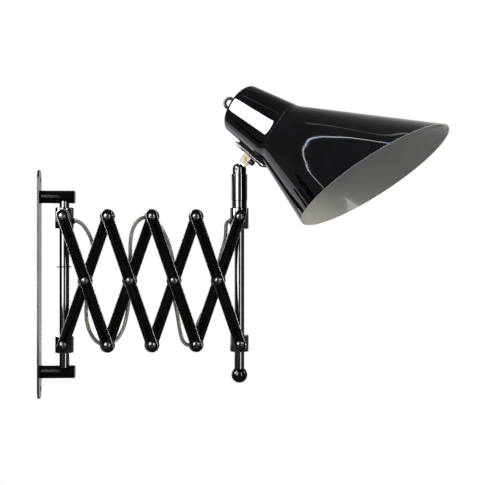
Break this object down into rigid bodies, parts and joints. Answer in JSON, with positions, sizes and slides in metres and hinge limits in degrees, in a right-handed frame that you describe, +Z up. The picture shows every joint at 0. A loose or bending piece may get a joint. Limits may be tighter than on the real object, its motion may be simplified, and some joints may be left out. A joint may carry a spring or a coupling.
{
  "type": "accordion wall lamp",
  "caption": "wall lamp on a scissor arm that pulls out and swings, with a swivelling, tilting spun metal shade",
  "frame": {"origin": "middle of the wall plate's back face, where it meets the wall", "axes": "+X out of the wall, +Z up, the arms lie on the -Y side of the rods; metres"},
  "size_m": [0.4748, 0.2026, 0.3765],
  "materials": {
    "chrome": "polished chrome plate",
    "black_chrome": "polished black chrome plate",
    "shade_metal": "spun metal, polished black chrome outside, satin light grey inside",
    "steel": "zinc-plated steel, lightly worn",
    "black_steel": "blackened steel",
    "brass": "pale brass, light tarnish",
    "rubber": "black moulded rubber",
    "brown_rubber": "reddish brown rubber",
    "cable_pvc": "light grey, slightly clear PVC",
    "bakelite": "dark phenolic"
  },
  "bodies": {
    "bracket": {"wall_plate": "chrome", "post_upper": "black_chrome", "post_lower": "black_chrome", "mast": "chrome", "stop_ring": "steel", "thrust_ring": "steel"},
    "hinge": {"collar_left": "chrome", "pivot_t0": "steel", "grommet_left": "brown_rubber", "cable_0": "cable_pvc"},
    "front_1": {"arm_f1": "black_chrome", "pivots_f1": "steel", "keepers_f1": "rubber", "cable_1": "cable_pvc"},
    "back_1": {"arm_b1": "black_chrome"},
    "left_slider": {"slider_left": "chrome", "pivot_s0": "steel"},
    "back_2": {"arm_b2": "black_chrome", "pivots_b2": "steel", "keepers_b2": "rubber", "cable_2": "cable_pvc"},
    "front_2": {"arm_f2": "black_chrome", "pivots_f2": "steel"},
    "front_3": {"arm_f3": "black_chrome", "pivots_f3": "steel", "keepers_f3": "rubber", "cable_3": "cable_pvc"},
    "back_3": {"arm_b3": "black_chrome"},
    "back_4": {"arm_b4": "black_chrome", "pivots_b4": "steel", "keepers_b4": "rubber", "cable_4": "cable_pvc"},
    "front_4": {"arm_f4": "black_chrome", "pivots_f4": "steel"},
    "right_slider": {"slider_right": "chrome", "pivot_s4": "steel"},
    "upright": {"collar_right": "chrome", "pivot_t4": "steel", "grommet_right": "brown_rubber", "cable_5": "cable_pvc", "outer_rod": "chrome", "ball": "black_chrome", "stem_foot": "chrome", "stem_sleeve": "chrome"},
    "swivel": {"swivel_cap": "chrome", "tilt_pin": "steel"},
    "head": {"knuckle": "brass", "thumb_screw": "black_steel", "bracket_plate": "chrome", "bracket_shim": "chrome", "saddle": "rubber", "bracket_screws": "steel", "shade": "shade_metal", "shade_loop": "black_chrome", "lampholder": "bakelite", "lamp_shell": "brass"}
  },
  "joints": [
    {"name": "swing", "type": "hinge", "parent": "bracket", "child": "hinge", "pos_m": [0.031, 0, 0], "axis": [0, 0, 1], "range_deg": [-80, 80]},
    {"name": "extend", "type": "hinge", "parent": "hinge", "child": "front_1", "pos_m": [0.031, 0, 0.0813], "axis": [0, -1, 0], "range_deg": [-9, 45]},
    {"name": "cross_1", "type": "hinge", "parent": "front_1", "child": "back_1", "pos_m": [0.05737, 0, 0.00471], "axis": [0, -1, 0], "range_deg": [-90, 18]},
    {"name": "left_slide", "type": "hinge", "parent": "back_1", "child": "left_slider", "pos_m": [0.031, 0, -0.07187], "axis": [0, -1, 0], "range_deg": [-9, 45]},
    {"name": "foot_1", "type": "hinge", "parent": "front_1", "child": "back_2", "pos_m": [0.08374, 0, -0.07187], "axis": [0, -1, 0], "range_deg": [-90, 18]},
    {"name": "cross_2", "type": "hinge", "parent": "back_2", "child": "front_2", "pos_m": [0.11011, 0, 0.00471], "axis": [0, -1, 0], "range_deg": [-18, 90]},
    {"name": "top_2", "type": "hinge", "parent": "back_2", "child": "front_3", "pos_m": [0.13648, 0, 0.0813], "axis": [0, -1, 0], "range_deg": [-18, 90]},
    {"name": "cross_3", "type": "hinge", "parent": "front_3", "child": "back_3", "pos_m": [0.16286, 0, 0.00471], "axis": [0, -1, 0], "range_deg": [-90, 18]},
    {"name": "foot_3", "type": "hinge", "parent": "front_3", "child": "back_4", "pos_m": [0.18923, 0, -0.07187], "axis": [0, -1, 0], "range_deg": [-90, 18]},
    {"name": "cross_4", "type": "hinge", "parent": "back_4", "child": "front_4", "pos_m": [0.2156, 0, 0.00471], "axis": [0, -1, 0], "range_deg": [-18, 90]},
    {"name": "right_slide", "type": "hinge", "parent": "front_4", "child": "right_slider", "pos_m": [0.24197, 0, -0.07187], "axis": [0, -1, 0], "range_deg": [-45, 9]},
    {"name": "top_4", "type": "hinge", "parent": "back_4", "child": "upright", "pos_m": [0.24197, 0, 0.0813], "axis": [0, -1, 0], "range_deg": [-9, 45]},
    {"name": "turn", "type": "hinge", "parent": "upright", "child": "swivel", "pos_m": [0.24197, 0, 0.1334], "axis": [0, 0, 1], "range_deg": [-59, 121]},
    {"name": "tilt", "type": "hinge", "parent": "swivel", "child": "head", "pos_m": [0.24197, 0, 0.1395], "axis": [0.515, 0.8572, 0], "range_deg": [-50, 38]}
  ],
  "couplings": [
    {"joint": "cross_1", "follows": "extend", "ratio": -2},
    {"joint": "left_slide", "follows": "extend", "ratio": 1},
    {"joint": "foot_1", "follows": "extend", "ratio": -2},
    {"joint": "cross_2", "follows": "extend", "ratio": 2},
    {"joint": "top_2", "follows": "extend", "ratio": 2},
    {"joint": "cross_3", "follows": "extend", "ratio": -2},
    {"joint": "foot_3", "follows": "extend", "ratio": -2},
    {"joint": "cross_4", "follows": "extend", "ratio": 2},
    {"joint": "right_slide", "follows": "extend", "ratio": -1},
    {"joint": "top_4", "follows": "extend", "ratio": 1}
  ]
}
